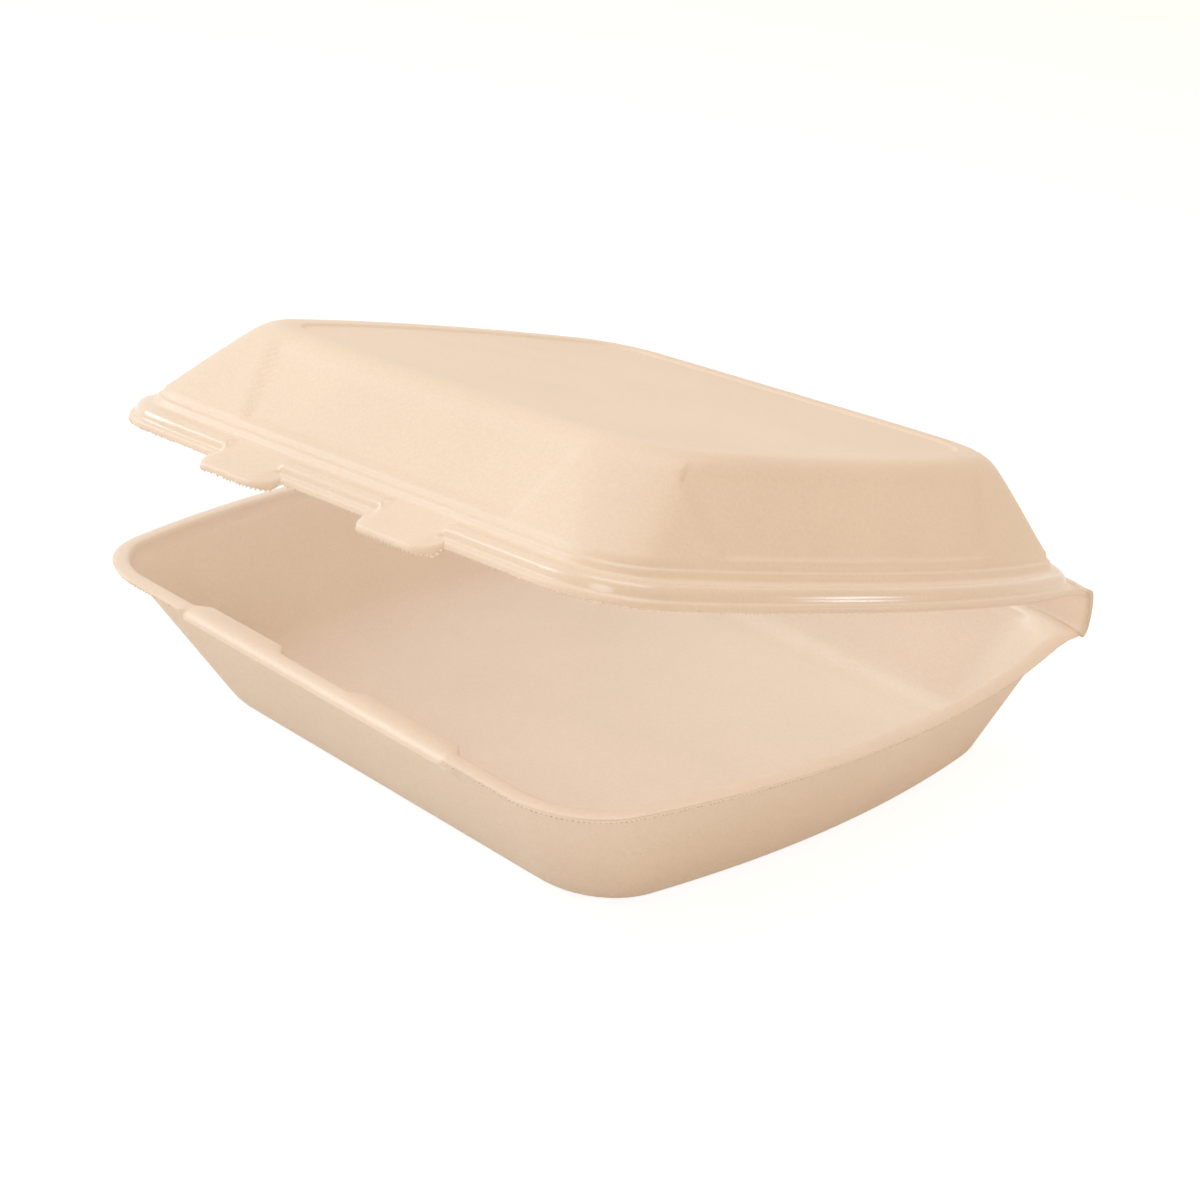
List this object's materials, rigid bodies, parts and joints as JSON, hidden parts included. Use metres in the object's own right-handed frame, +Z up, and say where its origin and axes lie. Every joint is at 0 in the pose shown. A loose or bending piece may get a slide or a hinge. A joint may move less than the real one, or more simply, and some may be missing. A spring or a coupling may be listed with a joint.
{
  "type": "foam clamshell container",
  "caption": "Hinged foam food container: a deep tray with bowed sides and a domed lid on a soft folding strip, standing slightly open.",
  "frame": {"origin": "middle of the rims' outline, on the surface that the tray stands on", "axes": "+X along the hinge to the right, -Y to the front where the tabs are, +Z up"},
  "size_m": [0.2417, 0.2467, 0.1315],
  "materials": {
    "foam": "fine-celled foam with a soft skin, glossier on the rolled rims"
  },
  "bodies": {
    "base": {"base_tray": "foam"},
    "hinge": {"hinge_strip": "foam"},
    "lid": {"lid": "foam"}
  },
  "joints": [
    {"name": "lid_tilt", "type": "hinge", "parent": "base", "child": "hinge", "pos_m": [-0.117, 0.12, 0.0482], "axis": [0, -1, 0], "range_deg": [-4, 0], "deforming": ["hinge_strip"]},
    {"name": "lid_hinge", "type": "hinge", "parent": "hinge", "child": "lid", "pos_m": [-0.117, 0.12, 0.0482], "axis": [-0.9976, 0, -0.0698], "range_deg": [-10.4, 169.6], "deforming": ["hinge_strip"]}
  ]
}
